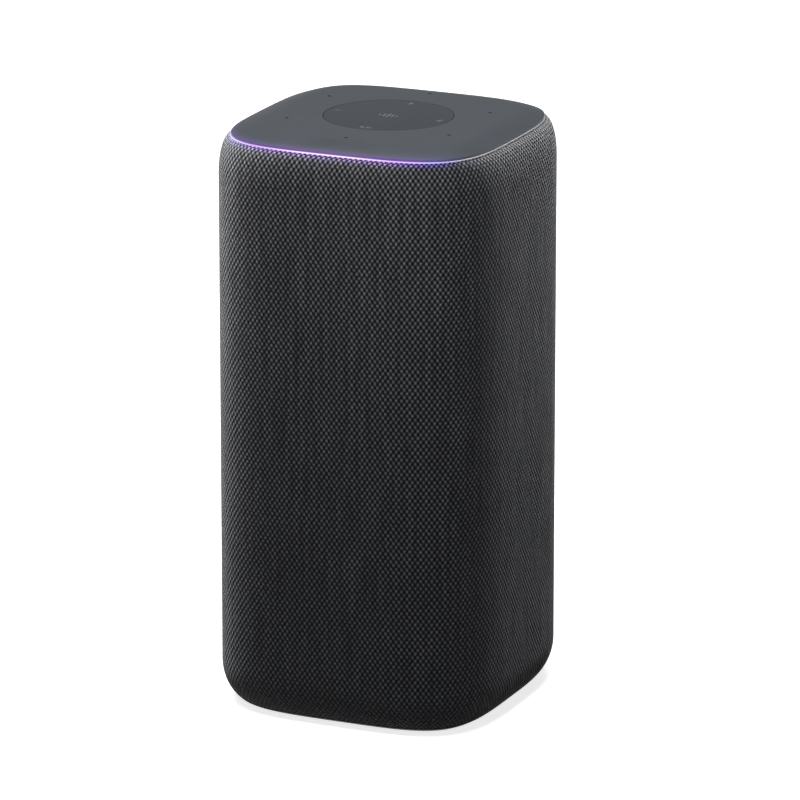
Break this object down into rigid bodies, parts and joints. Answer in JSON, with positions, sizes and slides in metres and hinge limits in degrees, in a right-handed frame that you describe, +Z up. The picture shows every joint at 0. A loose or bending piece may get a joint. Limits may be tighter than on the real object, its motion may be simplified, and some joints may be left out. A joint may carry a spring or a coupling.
{
  "type": "smart speaker",
  "caption": "Tall rounded-square tabletop speaker in a woven sleeve, with a domed touch top, a light ring, sprung drivers inside and a mains inlet under the base.",
  "frame": {"origin": "centre of the foot's underside, on the surface the speaker stands on", "axes": "+Z up along the column, front towards -Y, +X to the right of the front"},
  "size_m": [0.145, 0.145, 0.289],
  "materials": {
    "fabric": "woven polyester, charcoal, light warp over dark weft",
    "cover_plastic": "satin moulded",
    "disc_plastic": "satin, slightly smoother than the cover",
    "diffuser": "frosted translucent, lit from below",
    "black_plastic": "fine moulded grain",
    "cabinet_plastic": "moulded, satin",
    "circuit_board": "solder mask, satin",
    "black_board": "black solder mask",
    "paper": "pressed pulp",
    "rubber": "soft matt",
    "spider_cloth": "resin-stiffened cotton",
    "coil_wire": "enamelled copper wire on a former",
    "steel": "zinc plated",
    "ferrite": "sintered, dull",
    "aluminium": "drawn, satin",
    "brass": "plated",
    "silk": "doped silk dome",
    "ferrite_core": "ferrite core with a taped winding",
    "mic_can": "gold-coloured can"
  },
  "bodies": {
    "housing": {"top_cover": "cover_plastic", "touch_disc": "disc_plastic", "touch_sensor": "black_board", "mic_board": "black_board", "microphone_1": "mic_can", "microphone_2": "mic_can", "microphone_3": "mic_can", "microphone_4": "mic_can", "microphone_5": "mic_can", "microphone_6": "mic_can", "light_ring": "diffuser", "led_board": "black_board", "top_frame": "black_plastic", "fabric_sleeve": "fabric", "grille_frame": "black_plastic", "tweeter_front_housing": "black_plastic", "tweeter_front_surround": "rubber", "tweeter_right_housing": "black_plastic", "tweeter_right_surround": "rubber", "tweeter_left_housing": "black_plastic", "tweeter_left_surround": "rubber", "middle_frame": "black_plastic", "sound_deflector": "cabinet_plastic", "cabinet_body": "cabinet_plastic", "cabinet_floor": "cabinet_plastic", "woofer_basket": "black_plastic", "woofer_top_plate": "steel", "woofer_magnet": "ferrite", "woofer_yoke": "steel", "woofer_surround": "rubber", "woofer_spider": "spider_cloth", "radiator_right_frame": "black_plastic", "radiator_right_surround": "rubber", "radiator_left_frame": "black_plastic", "radiator_left_surround": "rubber", "main_board": "circuit_board", "heat_sink": "aluminium", "power_board": "circuit_board", "power_transformer": "ferrite_core", "bulk_capacitor": "black_plastic", "power_lead": "rubber", "antenna": "black_board", "base_cover": "black_plastic", "plug_well": "black_plastic", "foot_ring": "rubber", "power_inlet": "black_plastic", "inlet_pin_left": "brass", "inlet_pin_right": "brass", "base_screw_1": "steel", "base_screw_2": "steel", "base_screw_3": "steel", "base_screw_4": "steel"},
    "woofer_mover": {"woofer_cone": "paper", "woofer_dust_cap": "paper", "woofer_voice_coil": "coil_wire"},
    "radiator_right_mover": {"radiator_right_plate": "aluminium"},
    "radiator_left_mover": {"radiator_left_plate": "aluminium"},
    "tweeter_front_mover": {"tweeter_front_dome": "silk"},
    "tweeter_right_mover": {"tweeter_right_dome": "silk"},
    "tweeter_left_mover": {"tweeter_left_dome": "silk"}
  },
  "joints": [
    {"name": "woofer_travel", "type": "slide", "parent": "housing", "child": "woofer_mover", "axis": [0, 0, 1], "range_m": [-0.004, 0.004], "stiffness_N_per_m": 2000, "deforming": ["woofer_surround", "woofer_spider"]},
    {"name": "radiator_right_travel", "type": "slide", "parent": "housing", "child": "radiator_right_mover", "axis": [1, 0, 0], "range_m": [-0.0035, 0.0035], "stiffness_N_per_m": 600, "deforming": ["radiator_right_surround"]},
    {"name": "radiator_left_travel", "type": "slide", "parent": "housing", "child": "radiator_left_mover", "axis": [-1, 0, 0], "range_m": [-0.0035, 0.0035], "stiffness_N_per_m": 600, "deforming": ["radiator_left_surround"]},
    {"name": "tweeter_front_travel", "type": "slide", "parent": "housing", "child": "tweeter_front_mover", "axis": [0, -1, 0], "range_m": [-0.0004, 0.0004], "stiffness_N_per_m": 400, "deforming": ["tweeter_front_surround"]},
    {"name": "tweeter_right_travel", "type": "slide", "parent": "housing", "child": "tweeter_right_mover", "axis": [0.866, 0.5, 0], "range_m": [-0.0004, 0.0004], "stiffness_N_per_m": 400, "deforming": ["tweeter_right_surround"]},
    {"name": "tweeter_left_travel", "type": "slide", "parent": "housing", "child": "tweeter_left_mover", "axis": [-0.866, 0.5, 0], "range_m": [-0.0004, 0.0004], "stiffness_N_per_m": 400, "deforming": ["tweeter_left_surround"]}
  ]
}
